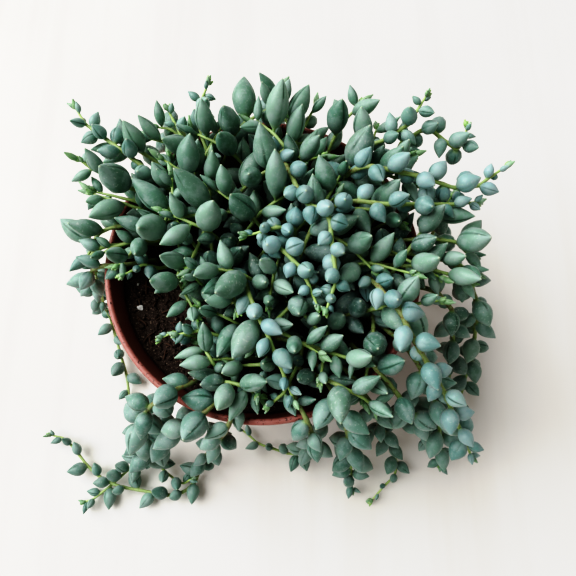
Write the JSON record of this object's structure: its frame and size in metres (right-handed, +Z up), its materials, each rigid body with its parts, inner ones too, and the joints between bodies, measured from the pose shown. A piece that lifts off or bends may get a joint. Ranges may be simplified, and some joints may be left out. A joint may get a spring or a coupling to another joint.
{
  "type": "potted trailing succulent",
  "caption": "Round tapered plastic pot with a collar, filled with soil and a trailing succulent whose beaded strands hang over the rim and lie along the surface.",
  "frame": {"origin": "centre of the underside of the pot's base, on the surface it stands on", "axes": "+Z up, +Y to the back of the plant, +X to its right as seen from the front"},
  "size_m": [0.2539, 0.2229, 0.1461],
  "materials": {
    "brick_plastic": "satin, dusty, brick red",
    "soil": "dark, moist, crumbly potting soil",
    "green_leaf": "satin waxy leaf",
    "blue_leaf": "waxy blue-green young leaf"
  },
  "bodies": {
    "root": {"back_hang_left": "green_leaf", "back_hang_mid": "green_leaf", "back_left": "green_leaf", "back_left_low": "green_leaf", "back_mid": "green_leaf", "back_right": "green_leaf", "back_right_arc": "green_leaf", "back_right_up": "green_leaf", "centre_diag": "blue_leaf", "clump_00": "green_leaf", "clump_01": "green_leaf", "clump_02": "green_leaf", "clump_03": "green_leaf", "clump_04": "green_leaf", "clump_05": "green_leaf", "clump_06": "green_leaf", "clump_07": "green_leaf", "clump_08": "green_leaf", "clump_09": "green_leaf", "clump_10": "green_leaf", "clump_11": "green_leaf", "clump_13": "green_leaf", "clump_14": "green_leaf", "clump_15": "green_leaf", "clump_16": "green_leaf", "clump_18": "green_leaf", "clump_19": "green_leaf", "clump_20": "green_leaf", "floor_back_left": "green_leaf", "floor_long": "green_leaf", "front_drop": "green_leaf", "front_floor": "green_leaf", "front_left_low": "green_leaf", "front_left_top": "green_leaf", "front_low": "green_leaf", "front_low_right": "green_leaf", "front_mid": "blue_leaf", "front_right_drop": "green_leaf", "front_right_floor": "green_leaf", "left": "green_leaf", "left_back": "green_leaf", "left_low": "green_leaf", "left_mid": "green_leaf", "pot": "brick_plastic", "right": "green_leaf", "right_drop": "green_leaf", "right_hang_back": "green_leaf", "right_hang_far": "green_leaf", "right_hang_near": "green_leaf", "right_long": "blue_leaf", "rim_front_left": "green_leaf", "rim_left": "green_leaf", "rim_left_tip": "blue_leaf", "soil": "soil", "soil_left": "blue_leaf", "top_left_mid": "blue_leaf", "top_mid": "blue_leaf", "top_right": "blue_leaf", "top_right_low": "blue_leaf", "wall_left": "green_leaf"}
  },
  "joints": []
}
